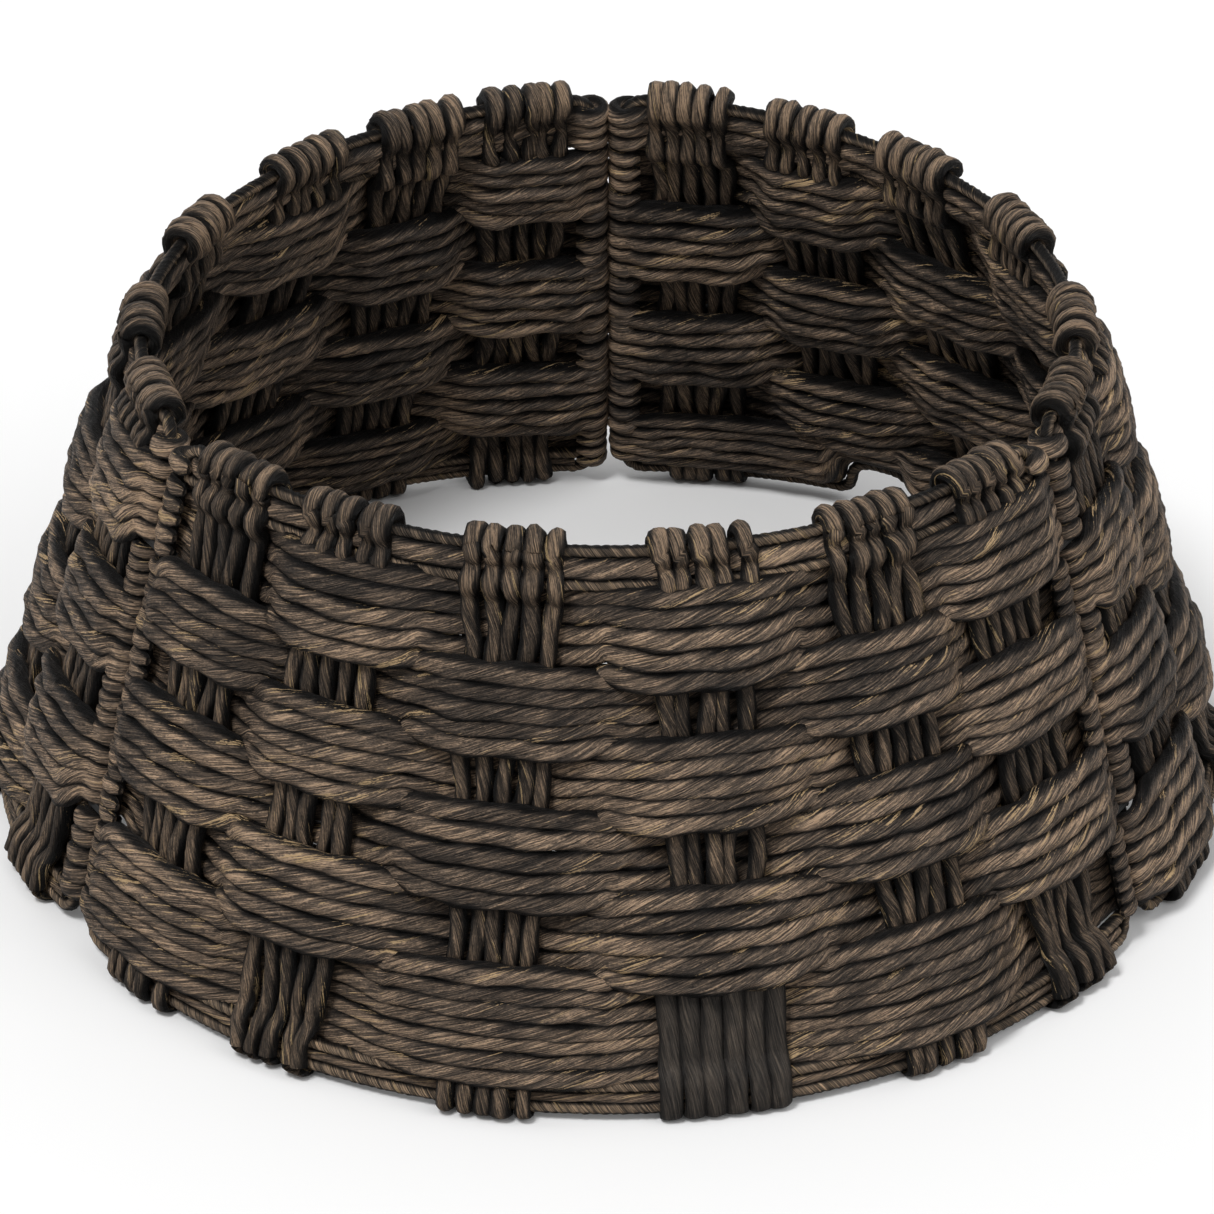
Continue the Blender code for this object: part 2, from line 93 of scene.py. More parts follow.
def unit(vectors):
    return vectors / np.linalg.norm(vectors, axis=-1, keepdims=True)


def row_lines(top_rail_pitch, row_shares):
    """Height shares of the lines between the rows of the weave, from the top down."""
    top = 1 - top_rail_pitch / SLANT - RAIL_MARGIN_SHARE
    foot = FOOT_INNER_SHARE + RAIL_MARGIN_SHARE
    return top - (top - foot) * np.cumsum((0, *row_shares)) / sum(row_shares)


class Panel:
    """One of three shares of the flared ring: a ruled surface between the arcs of foot and top rail.

    A place on it is an across share, from -1 at the panel's left rod to 1 at its right rod, a height
    share from the foot rail to the top rail, and an offset outwards. It takes and gives arrays.
    Columns are the across shares of the upright bundles, counts the ropes of each row from the top
    down, and back end the across share of the rod at the back seam, or 0.
    """

    def __init__(self, name, turn, columns, counts, back_end=0, notched=False):
        self.name = name
        self.body = f"{name}_panel"
        cosine, sine = math.cos(turn), math.sin(turn)
        self.turn = np.array([[cosine, -sine, 0], [sine, cosine, 0], [0, 0, 1]])
        self.columns = columns
        self.counts = counts
        self.back_end = back_end
        self.notched = notched

    def stake_side(self, row, column):
        """1 where an upright bundle shows outside the band, -1 where it lies inside it."""
        if self.notched and column == NOTCH_COLUMN and row == ROWS - 1:
            row -= 1
        return 1 if (row + column) % 2 == 0 else -1

    def line(self, number, across):
        """Height share of a line between rows, which on a side panel slopes to the back seam."""
        across = np.asarray(across)
        back_share = (1 + self.back_end * across) / 2 if self.back_end else 0 * across
        front_line = row_lines(TOP_RAIL_PITCH, ROW_SHARES)[number]
        back_line = row_lines(BACK_TOP_RAIL_PITCH, BACK_ROW_SHARES)[number]
        return mix(front_line, back_line, back_share)

    def arc(self, height):
        """Radius, half angle and distance of centre from the axis, of the arc at a height share."""
        seam = mix(FOOT_SEAM_RADIUS, TOP_SEAM_RADIUS, height)
        middle = mix(FOOT_MID_RADIUS, TOP_MID_RADIUS, height)
        half_chord = seam * math.sin(SEAM_ANGLE) - ROD_SPACING / 2 * math.cos(SEAM_ANGLE)
        bow = middle - seam * math.cos(SEAM_ANGLE) - ROD_SPACING / 2 * math.sin(SEAM_ANGLE)
        radius = (half_chord**2 + bow**2) / (2 * bow)
        return radius, np.arcsin(half_chord / radius), middle - radius

    def across_share(self, length, height):
        radius, half_angle, _ = self.arc(height)
        return length / (radius * half_angle)

    def spread(self, across, height):
        """Across and height shares as arrays of one length."""
        across, height = np.broadcast_arrays(np.asarray(across, float), np.asarray(height, float))
        return np.atleast_1d(across), np.atleast_1d(height)

    def point(self, across, height):
        across, height = self.spread(across, height)
        radius, half_angle, centre = self.arc(height)
        angle = half_angle * across
        flat = (radius * np.sin(angle), -centre - radius * np.cos(angle), FOOT_LEVEL + RAIL_RISE * height)
        return np.stack(flat, axis=-1) @ self.turn.T

    def along(self, across, height):
        across, height = self.spread(across, height)
        angle = self.arc(height)[1] * across
        return np.stack((np.cos(angle), np.sin(angle), 0 * angle), axis=-1) @ self.turn.T

    def outward(self, across, height):
        across, height = self.spread(across, height)
        angle = self.arc(height)[1] * across
        return np.stack((np.sin(angle), -np.cos(angle), 0 * angle), axis=-1) @ self.turn.T

    def rise(self, across):
        return unit(self.point(across, 1) - self.point(across, 0))

    def normal(self, across, height):
        return unit(np.cross(self.along(across, height), self.rise(across)))

    def place(self, across, height, offset=0):
        lift = np.asarray(offset, float)[..., None]
        return self.point(across, height) + self.normal(across, height) * lift


front_columns = (-0.830, -0.540, -0.190, 0.180, 0.543, 0.833)
left_columns = (-0.857, -0.588, -0.285, 0.100, 0.530, 0.855)
right_columns = (-0.855, -0.530, -0.100, 0.270, 0.575, 0.857)
front = Panel("front", 0, front_columns, (5, 5, 5, 5, 5, 7))
left = Panel("left", -2 * SEAM_ANGLE, left_columns, (5, 5, 5, 5, 5, 5), back_end=-1)
right = Panel("right", 2 * SEAM_ANGLE, right_columns, (5, 5, 5, 5, 5, 5), back_end=1, notched=True)
panels = (front, left, right)
chance = np.random.default_rng(24)


class Field:
    """A socket of a node tree that takes part in sums, so that a graph reads as a formula."""

    def __init__(self, graph, socket):
        self.graph = graph
        self.socket = socket

    def math(self, operation, *values):
        inputs = dict(enumerate((self, *values)))
        return self.graph.node("ShaderNodeMath", inputs, operation=operation)

    def __add__(self, other):
        return self.math("ADD", other)

    __radd__ = __add__

    def __sub__(self, other):
        return self.math("SUBTRACT", other)

    def __rsub__(self, other):
        return (self * -1).math("ADD", other)

    def __mul__(self, other):
        return self.math("MULTIPLY", other)

    __rmul__ = __mul__

    def __truediv__(self, other):
        return self.math("DIVIDE", other)

    def __rpow__(self, other):
        return self.graph.node("ShaderNodeMath", {0: other, 1: self}, operation="POWER")


class Graph:
    """A node tree with one way to add a node of any type."""

    def __init__(self, tree):
        self.tree = tree

    def node(self, kind, inputs=None, output=0, **settings):
        made = self.tree.nodes.new(kind)
        for name, value in settings.items():
            setattr(made, name, value)
        for key, value in (inputs or {}).items():
            if isinstance(value, Field):
                self.tree.links.new(value.socket, made.inputs[key])
            else:
                made.inputs[key].default_value = value
        return Field(self, made.outputs[output])

    def vector(self, operation, *values, output=0):
        return self.node("ShaderNodeVectorMath", dict(enumerate(values)), output, operation=operation)

    def smooth(self, value, low, high):
        """0 at low, 1 at high and a smooth rise between."""
        inputs = {"Value": value, "From Min": low, "From Max": high}
        return self.node("ShaderNodeMapRange", inputs, interpolation_type="SMOOTHSTEP")


TWIST_PITCH = 0.086
LUMP_RATE = 60
LOBE_UNEVENNESS = 0.45
LAY_RATE = 40


def sweep_tree():
    """Geometry Nodes tree that turns rows of edges into twisted strands.

    Each row carries sweep_radius, sweep_flat, sweep_side, sweep_phase and tint at its points. The
    strand keeps tint, and gets crown, 1 where it faces out of the weave and 0 beside its
    neighbours, and lay, which turns with the twist: its first two numbers say where a fibre lies
    round the strand and the third how far along it.
    """
    tree = bpy.data.node_groups.new("strand_sweep", "GeometryNodeTree")
    face = tree.interface
    face.new_socket("Geometry", in_out="INPUT", socket_type="NodeSocketGeometry")
    for name, kind, value in (
        ("Sides", "NodeSocketInt", 12),
        ("Twist Pitch", "NodeSocketFloat", TWIST_PITCH),
        ("Lobes", "NodeSocketFloat", 2.0),
        ("Lobe Depth", "NodeSocketFloat", 0.10),
        ("Lump Depth", "NodeSocketFloat", 0.30),
    ):
        face.new_socket(name, in_out="INPUT", socket_type=kind).default_value = value
    face.new_socket("Material", in_out="INPUT", socket_type="NodeSocketMaterial")
    face.new_socket("Geometry", in_out="OUTPUT", socket_type="NodeSocketGeometry")
    graph = Graph(tree)
    given = tree.nodes.new("NodeGroupInput")
    inputs = {socket.name: Field(graph, socket) for socket in given.outputs if socket.name}

    def read(name, kind="FLOAT"):
        return graph.node("GeometryNodeInputNamedAttribute", {"Name": name}, data_type=kind)

    def store(geometry, name, value, kind="FLOAT"):
        values = {"Geometry": geometry, "Name": name, "Value": value}
        return graph.node("GeometryNodeStoreNamedAttribute", values, data_type=kind, domain="POINT")

    rows = graph.node("GeometryNodeMeshToCurve", {"Mesh": inputs["Geometry"]})
    side = read("sweep_side", "FLOAT_VECTOR")
    rows = graph.node("GeometryNodeSetCurveNormal", {"Curve": rows, "Normal": side}, mode="FREE")
    rows = store(rows, "sweep_centre", graph.node("GeometryNodeInputPosition"), "FLOAT_VECTOR")
    rows = store(rows, "sweep_along", graph.node("GeometryNodeSplineParameter", output="Length"))
    ring = graph.node("GeometryNodeCurvePrimitiveCircle", {"Resolution": inputs["Sides"], "Radius": 1.0})
    ring = store(ring, "sweep_turn", graph.node("GeometryNodeSplineParameter", output="Factor"))
    scale = read("sweep_radius")
    curves = {"Curve": rows, "Profile Curve": ring, "Scale": scale, "Fill Caps": True}
    body = graph.node("GeometryNodeCurveToMesh", curves)

    along = read("sweep_along")
    phase = read("sweep_phase")
    angle = read("sweep_turn") * math.tau + along / inputs["Twist Pitch"] * math.tau + phase
    across = angle.math("COSINE")
    beside = angle.math("SINE")
    spot = graph.node("ShaderNodeCombineXYZ", {0: across, 1: beside, 2: along * LUMP_RATE + phase * 7})
    lumps = graph.node("ShaderNodeTexNoise", {"Vector": spot, "Scale": 0.9, "Detail": 1.0}) - 0.5
    uneven = (angle * (inputs["Lobes"] + 1)).math("COSINE") * LOBE_UNEVENNESS
    lobes = (angle * inputs["Lobes"]).math("COSINE") + uneven
    swell = 1 + lobes * inputs["Lobe Depth"] + lumps * inputs["Lump Depth"] * 2
    centre = read("sweep_centre", "FLOAT_VECTOR")
    out = graph.vector("SUBTRACT", graph.node("GeometryNodeInputPosition"), centre)
    level = graph.vector("DOT_PRODUCT", out, side, output="Value")
    body = store(body, "crown", (level / scale).math("ABSOLUTE"))
    depth = level * (1 - read("sweep_flat"))
    sideways = graph.node("ShaderNodeVectorMath", {0: side, "Scale": depth}, operation="SCALE")
    out = graph.vector("SUBTRACT", out, sideways)
    out = graph.node("ShaderNodeVectorMath", {0: out, "Scale": swell}, operation="SCALE")
    moved = graph.vector("ADD", centre, out)
    body = graph.node("GeometryNodeSetPosition", {"Geometry": body, "Position": moved})
    lay = graph.node("ShaderNodeCombineXYZ", {0: across, 1: beside, 2: along * LAY_RATE + phase * 5})
    body = store(body, "lay", lay, "FLOAT_VECTOR")
    spent = {"Geometry": body, "Name": "sweep_*"}
    body = graph.node("GeometryNodeRemoveAttribute", spent, pattern_mode="WILDCARD")
    body = graph.node("GeometryNodeRealizeInstances", {"Geometry": body})
    body = graph.node("GeometryNodeSetMaterial", {"Geometry": body, "Material": inputs["Material"]})
    result = tree.nodes.new("NodeGroupOutput")
    tree.links.new(body.socket, result.inputs["Geometry"])
    return tree


strand_sweep = sweep_tree()
SAME_SPOT = 1e-7


def reach_along(points):
    """Distance along a path, from its start to each of its points."""
    return np.concatenate(((0,), np.cumsum(np.linalg.norm(np.diff(points, axis=0), axis=1))))


def strand(points, radius, side, step, flat=1.0, tint=0.0):
    """One strand's path at even steps: its points, radius, flatness and the way its flat side faces."""
    points = np.asarray(points, float)
    reach = reach_along(points)
    kept = np.concatenate(((True,), np.diff(reach) > SAME_SPOT))
    spots = np.linspace(0, reach[-1], max(4, round(reach[-1] / step)))

    def even(values):
        table = np.reshape(values, (-1, np.size(values) // len(points) or 1))
        columns = (0 * reach[:, None] + table)[kept].T
        return np.stack([np.interp(spots, reach[kept], column) for column in columns], axis=-1)

    path = even(points)
    ahead = unit(np.gradient(path, axis=0))
    facing = even(side)
    facing = unit(facing - ahead * (facing * ahead).sum(axis=1, keepdims=True))
    return {
        "points": path,
        "sweep_radius": even(radius)[:, 0],
        "sweep_flat": even(flat)[:, 0],
        "sweep_side": facing,
        "sweep_phase": np.full(len(path), chance.uniform(0, math.tau)),
        "tint": even(tint)[:, 0] + chance.uniform(-0.5, 0.5),
    }


def sweep(name, strands, finish, body, slot, node=None, **sizes):
    """A piece made of strands, which rides on a body and stands for a CAD node."""
    counts = [len(one["points"]) for one in strands]
    starts = np.cumsum((0, *counts[:-1]))
    edges = [(start + k, start + k + 1) for start, count in zip(starts, counts) for k in range(count - 1)]
    mesh = bpy.data.meshes.new(name)
    mesh.from_pydata(np.concatenate([one["points"] for one in strands]).tolist(), edges, [])
    for key in strands[0]:
        if key != "points":
            values = np.concatenate([one[key] for one in strands])
            kind, field = ("FLOAT_VECTOR", "vector") if values.ndim > 1 else ("FLOAT", "value")
            mesh.attributes.new(key, kind, "POINT").data.foreach_set(field, values.ravel())
    rows = bpy.data.objects.new(f"{name}_rows", mesh)
    bpy.context.scene.collection.objects.link(rows)
    modifier = rows.modifiers.new("sweep", "NODES")
    modifier.node_group = strand_sweep
    face = strand_sweep.interface.items_tree
    sockets = {item.name: item.identifier for item in face if item.in_out == "INPUT"}
    for key, value in {"Material": finish, **sizes}.items():
        modifier[sockets[key.replace("_", " ")]] = value
    shape = bpy.data.meshes.new_from_object(rows.evaluated_get(bpy.context.evaluated_depsgraph_get()))
    bpy.data.objects.remove(rows)
    shape.name = name
    shape.shade_smooth()
    piece = bpy.data.objects.new(name, shape)
    bpy.context.scene.collection.objects.link(piece)
    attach(piece, body)
    if node:
        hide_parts(node)


FINE_SHARE = 0.74
BAND_SHARE = 0.26
TINT_WEIGHT = 0.075
CLOUD_WEIGHT = 0.25
CROWN_SHADE_MIDDLE = 0.72
MOST_WEAR_AND_HIGHLIGHT = 2.3
WEAR_HIGHLIGHT_AND_SHADE_SHARES = (1.0, 0.95, 0.87)
STRAW_EDGE = 0.02
MOST_STRAW = 0.9
ROPE_ROUGHNESS = 0.40
ROPE_GLOSS = 0.22
ROPE_RELIEF = 0.0036


def rope_finish(name, plain, straw, straw_share, fibre=9.0, contrast=11.0, edges=3.0):
    """Stained, twisted plant fibre: light and dark streaks that follow the twist, bare straw patches."""
    finish = bpy.data.materials.new(name)
    finish.use_nodes = True
    graph = Graph(finish.node_tree)
    shader = finish.node_tree.nodes["Principled BSDF"]
    lay = graph.node("ShaderNodeAttribute", output="Vector", attribute_name="lay")
    tint = graph.node("ShaderNodeAttribute", output="Fac", attribute_name="tint")
    crown = graph.node("ShaderNodeAttribute", output="Fac", attribute_name="crown")

    def fibres(around, along, detail, shift):
        scaled = graph.vector("MULTIPLY_ADD", lay, (around, around, along), (shift, shift, shift))
        inputs = {"Vector": scaled, "Scale": 1.0, "Detail": detail, "Roughness": 0.6}
        return graph.node("ShaderNodeTexNoise", inputs)

    fine = fibres(fibre, 1.5, 3.0, 0.0)
    bands = fibres(fibre * 0.30, 0.9, 1.0, 4.0)
    patches = fibres(0.8, 0.6, 1.0, 9.0)
    place = graph.node("ShaderNodeTexCoord", output="Object")
    cloud = graph.node("ShaderNodeTexNoise", {"Vector": place, "Scale": 20.0, "Detail": 2.0})
    mixed = fine * FINE_SHARE + bands * BAND_SHARE
    shade = tint * TINT_WEIGHT + (cloud - 0.5) * CLOUD_WEIGHT
    # The crown term, weighted by edges, paints shade on each rope's sides, in the creases beside its
    # neighbours, and paints light on its faces that look out of the weave.
    worn = (mixed + shade - 0.5) * contrast + (graph.smooth(crown, 0.40, 0.92) - CROWN_SHADE_MIDDLE) * edges
    # Capped so that the lightest streaks, part the fibres' own colour and part painted highlight, get no
    # paler than this.
    worn = worn.math("MINIMUM", MOST_WEAR_AND_HIGHLIGHT)
    shares = {at: math.e ** (worn * share) for at, share in enumerate(WEAR_HIGHLIGHT_AND_SHADE_SHARES)}
    stain_highlight_and_shade = graph.vector("MULTIPLY", graph.node("ShaderNodeCombineXYZ", shares), plain)
    reach = fine * 0.4 + bands * 0.2 + patches * 0.4 + (cloud - 0.5) * 0.17
    bare = graph.smooth(reach, 0.5 + straw_share, 0.5 + STRAW_EDGE + straw_share) * MOST_STRAW
    colour = graph.node("ShaderNodeMix", {0: bare, 6: stain_highlight_and_shade, 7: (*straw, 1)}, 2, data_type="RGBA")
    rough = ROPE_ROUGHNESS + (0.5 - mixed) * 0.8
    relief = graph.node("ShaderNodeBump", {"Height": mixed, "Strength": 1.0, "Distance": ROPE_RELIEF})
    for key, value in (("Base Color", colour), ("Roughness", rough), ("Normal", relief)):
        finish.node_tree.links.new(value.socket, shader.inputs[key])
    shader.inputs["Specular IOR Level"].default_value = ROPE_GLOSS
    return finish


rail_rope = rope_finish("rail_rope", (0.072, 0.0560, 0.0430), (0.40, 0.285, 0.15), 0.11, fibre=4.5)

NOTCH_WIDTH = 0.039
NOTCH_CROWN_WIDTH = 0.027
NOTCH_HEIGHT = 0.027
NOTCH_FOOT_RADIUS = 0.008
NOTCH_CROWN_RADIUS = 0.014
NOTCH_INNER_FOOT_RADIUS = 0.003
CORNER_SPOTS = 9
RAIL_SPOTS = 160
RAIL_END_GAP = 0.0008
WINDING_PITCH = -0.0150
WINDING_STEP = 0.0016


def arc_points(start, corner, end, radius):
    """Points of the round that joins two lines at a corner."""
    back = unit(start - corner)
    ahead = unit(end - corner)
    half = math.acos(float(back @ ahead)) / 2
    centre = corner + unit(back + ahead) * (radius / math.sin(half))
    first = unit(corner + back * (radius / math.tan(half)) - centre)
    last = unit(corner + ahead * (radius / math.tan(half)) - centre)
    turn = math.acos(float(np.clip(first @ last, -1, 1)))
    spots = []
    for share in np.linspace(0, 1, CORNER_SPOTS):
        way = (first * math.sin((1 - share) * turn) + last * math.sin(share * turn)) / math.sin(turn)
        spots.append(centre + way * radius)
    return spots


def notch_line(apart, foot_radius):
    """Line of a foot rail over the notch, across and up the slope from the notch's middle."""
    half_width = NOTCH_WIDTH / 2 + RAIL_RADIUS + apart
    half_crown = NOTCH_CROWN_WIDTH / 2 + RAIL_RADIUS + apart
    crown = NOTCH_HEIGHT + RAIL_RADIUS - FOOT_LEVEL + apart
    start = half_width + foot_radius
    outline = [(-start, apart), (-half_width, apart), (-half_crown, crown)]
    outline += [(-x, y) for x, y in outline[::-1]]
    corners = [np.array(spot) for spot in outline]
    crown_radius = NOTCH_CROWN_RADIUS + apart / 2
    radii = (foot_radius, crown_radius, crown_radius, foot_radius)
    path = [corners[0]]
    for before, corner, after, radius in zip(corners, corners[1:], corners[2:], radii):
        path += arc_points(before, corner, after, radius)
    return np.array([*path, corners[-1]])


def over_notch(panel, path, apart):
    """A path along the foot, bent up and over the notch."""
    line = notch_line(apart, NOTCH_INNER_FOOT_RADIUS if apart else NOTCH_FOOT_RADIUS)
    over = np.stack((NOTCH_MIDDLE_SHARE + panel.across_share(line[:, 0], 0), line[:, 1] / SLANT), axis=-1)
    return np.concatenate((path[path[:, 0] < over[0, 0]], over, path[path[:, 0] > over[-1, 0]]))


def round_corner(panel, end, top):
    """Across and height shares of the round corner, from the rail to the end rod."""
    angle = np.linspace(0, math.pi / 2, CORNER_SPOTS)
    inset = panel.across_share(CORNER_RADIUS * (1 - np.sin(angle)), 1 if top else 0)
    drop = CORNER_RADIUS * (1 - np.cos(angle)) / SLANT
    return end * (1 - inset), 1 - drop if top else drop


def rail_path(panel, name, end_gap):
    """Across and height shares along one of the panel's rails."""
    heights = {
        "foot_rail": lambda across: 0 * across,
        "inner_foot_rail": lambda across: 0 * across + FOOT_INNER_SHARE,
        "inner_top_rail": lambda across: panel.line(0, across) + RAIL_MARGIN_SHARE,
        "top_rail": lambda across: 0 * across + 1,
    }
    height = heights[name]
    end = 1 - panel.across_share(end_gap, height(1))
    across = np.linspace(-end, end, RAIL_SPOTS)
    path = np.stack((across, height(across)), axis=-1)
    if panel.notched and name.endswith("foot_rail"):
        path = over_notch(panel, path, FOOT_RAIL_PITCH if name == "inner_foot_rail" else 0)
    if name in ("foot_rail", "top_rail"):
        ends = [np.stack(round_corner(panel, end, name == "top_rail"), axis=-1) for end in (-1, 1)]
        path = np.concatenate((ends[0][::-1], path, ends[1]))
    return path


for panel in panels:
    for name, end_gap in (
        ("foot_rail", CORNER_RADIUS + RAIL_END_GAP),
        ("inner_foot_rail", ROD_RADIUS + RAIL_END_GAP),
        ("inner_top_rail", ROD_RADIUS + RAIL_END_GAP),
        ("top_rail", CORNER_RADIUS + RAIL_END_GAP),
    ):
        across, height = rail_path(panel, name, end_gap).T
        facing = panel.normal(across, height)
        wound = strand(panel.place(across, height), RAIL_RADIUS, facing, WINDING_STEP)
        node = f"{panel.name}_{name}"
        sizes = {"Twist_Pitch": WINDING_PITCH, "Lobes": 3.0, "Lobe_Depth": 0.07, "Lump_Depth": 0.12}
        sweep(f"{node}_winding", [wound], rail_rope, panel.body, "rail_rope", node, **sizes)


# End rods: bare black steel wire at both ends of each panel, bent over at the corners to run into
# the wound rails. Each side panel turns about its own rod at the front seam.

ROD_STEP = 0.003
WORN_WIRE_SHARE = 1.7


def wire_finish(name, colour, roughness, metallic):
    """Drawn wire with a thin uneven coat."""
    finish = bpy.data.materials.new(name)
    finish.use_nodes = True
    graph = Graph(finish.node_tree)
    shader = finish.node_tree.nodes["Principled BSDF"]
    lay = graph.node("ShaderNodeAttribute", output="Vector", attribute_name="lay")
    scaled = graph.vector("MULTIPLY", lay, (3.0, 3.0, 0.5))
    marks = graph.node("ShaderNodeTexNoise", {"Vector": scaled, "Scale": 1.0, "Detail": 3.0})
    worn = tuple(WORN_WIRE_SHARE * part for part in colour)
    share = graph.smooth(marks, 0.45, 0.72)
    tone = graph.node("ShaderNodeMix", {0: share, 6: (*colour, 1), 7: (*worn, 1)}, 2, data_type="RGBA")
    relief = graph.node("ShaderNodeBump", {"Height": marks, "Strength": 0.25, "Distance": 0.0003})
    rough = roughness + (marks - 0.5) * 0.3
    for key, value in (("Base Color", tone), ("Roughness", rough), ("Normal", relief)):
        finish.node_tree.links.new(value.socket, shader.inputs[key])
    shader.inputs["Metallic"].default_value = metallic
    return finish


rod_wire = wire_finish("rod_wire", (0.020, 0.019, 0.018), 0.42, 0.6)

for panel in panels:
    for hand, end in (("left", -1), ("right", 1)):
        foot_across, foot_height = round_corner(panel, end, False)
        top_across, top_height = round_corner(panel, end, True)
        across = np.concatenate((foot_across, top_across[::-1]))
        height = np.concatenate((foot_height, top_height[::-1]))
        rod = strand(panel.place(across, height), ROD_RADIUS, panel.normal(across, height), ROD_STEP)
        node = f"{panel.name}_{hand}_rod"
        sizes = {"Lobe_Depth": 0.0, "Lump_Depth": 0.01}
        sweep(f"{node}_wire", [rod], rod_wire, panel.body, "rod_wire", node, **sizes)


# Upright ropes: bundles of five twisted plant-fibre ropes. Each rope hooks over both top rails at
# its upper end and under the foot rails at its lower end, and passes behind and before the rows of
# level rope by turns. At the foot of the front panel one bundle is of six flat strips instead.

STAKE_ROPES = 5
STAKE_ROPE_PITCH = 0.0096
STAKE_ROPE_RADIUS = 0.0048
THINNEST_STAKE = 0.9
THICKEST_STAKE = 1.06
STAKE_FLAT_SHARE = 0.92
STAKE_SWAY = 0.0016
STAKE_SETTLE = 0.009
STAKE_SPOTS = 140
STAKE_STEP = 0.0026
STAKE_DEPTH_DRIFT = (0.0006, 0.11)
STAKE_WIDTH_DRIFT = (0.05, 0.07)
STAKE_LEAN = 0.0015
STAKE_LEAN_LENGTHS = (0.13, 0.075)
STAKE_SHIFT = 0.0012
STAKE_TIP = 0.006
STAKE_TIP_SHARE = 0.45
RAIL_PASS = 0.0080
RIM_RECESS = 0.0040
RIM_DROP = 0.001
KNOB_SHARE = 0.16
KNOB_LENGTH = 0.0040
KNOB_HIGHLIGHT_PALENESS = 3
HOOK_SPOTS = 13
TOP_HOOK_RADIUS = 0.0075
TOP_HOOK_WIDTH_SHARE = 1.1
TOP_HOOK_FLAT_SHARE = 0.84
TOP_HOOK_HIGHLIGHT_PALENESS = 0.6
TOP_TAIL = 0.006
TOP_TAIL_SPOTS = 22
TOP_TAIL_DRIFT = (0.0012, 0.15)
TOP_TAIL_SHIFT = 0.0015
TOP_TAIL_WIDTH_SHARE = 0.92
TOP_TAIL_TUCK_SHARE = 0.45
FOOT_HOOK_FLAT_SHARE = 0.30
FOOT_HOOK_PRESS = 0.95
FOOT_HOOK_PALENESS = 0.2
FOOT_TAIL = 0.004
FOOT_TAIL_SPOTS = 7
FOOT_TAIL_OFFSET = 0.0066
FOOT_TAIL_FLAT_SHARE = 0.8
FOOT_TAIL_PALENESS = 0.4
STRIP_COLUMN = 3
STRIPS = 6
STRIP_PITCH = 0.0110
STRIP_RADIUS = 0.0057
STRIP_FLAT_SHARE = 0.42
STRIP_LEAN = 0.0006
STRIP_RECESS = 0.001
STRIP_REACH = 0.010
STAKE_LAP = 0.006

upright_rope = rope_finish("upright_rope", (0.042, 0.0326, 0.0257), (0.55, 0.39, 0.20), 0.105)


def soft_step(value):
    """0 below 0, 1 above 1, and a smooth rise between."""
    share = np.clip(value, 0, 1)
    return share * share * (3 - 2 * share)


def wander(spots, size, length):
    """A smooth drift of about a size, in waves of a length, with no pattern, along a row of places."""
    drift = 0 * spots
    for octave in (1, 2):
        drift = drift + np.sin(spots / length * math.tau * octave + chance.uniform(0, math.tau)) / octave
    return drift * size / 1.5


def hook(panel, across, top, side, radius):
    """Points and outward ways of a rope's half turn round the top rail or the foot rail."""
    height = 1 if top else 0
    angle = np.linspace(0, math.pi, HOOK_SPOTS)
    level = panel.outward(across, height) * side
    beyond = np.array([[0, 0, 1 if top else -1]])
    way = level * np.cos(angle)[:, None] + beyond * np.sin(angle)[:, None]
    return panel.point(across, height) + way * np.reshape(radius, (-1, 1)), way


def stake_offset(panel, column, height, lines, low_pass):
    """Offset of an upright rope that weaves before and behind the rows of level rope."""
    settle = STAKE_SETTLE / SLANT
    offset = 0 * height + panel.stake_side(0, column) * STAKE_SWAY
    for line in range(1, ROWS):
        passed = soft_step((lines[line] - height) / settle / 2 + 0.5)
        offset = mix(offset, panel.stake_side(line, column) * STAKE_SWAY, passed)
    if low_pass:
        near_foot = soft_step((lines[-1] + settle - height) / (lines[-1] + settle - FOOT_INNER_SHARE))
        offset = mix(offset, panel.stake_side(ROWS - 1, column) * low_pass, near_foot)
    return offset


def rim_offset(height, inner_top):
    """Offset of a rope over both top rails, which sinks in between them."""
    sunk = np.sin(np.clip((1 - height) / (1 - inner_top), 0, 1) * math.pi) ** 2
    return mix(RAIL_PASS, RIM_RECESS, sunk)


def knob(height, *rails):
    """How much thicker a rope is where it goes over a rail."""
    return sum(KNOB_SHARE * np.exp(-(((height - rail) * SLANT / KNOB_LENGTH) ** 2)) for rail in rails)


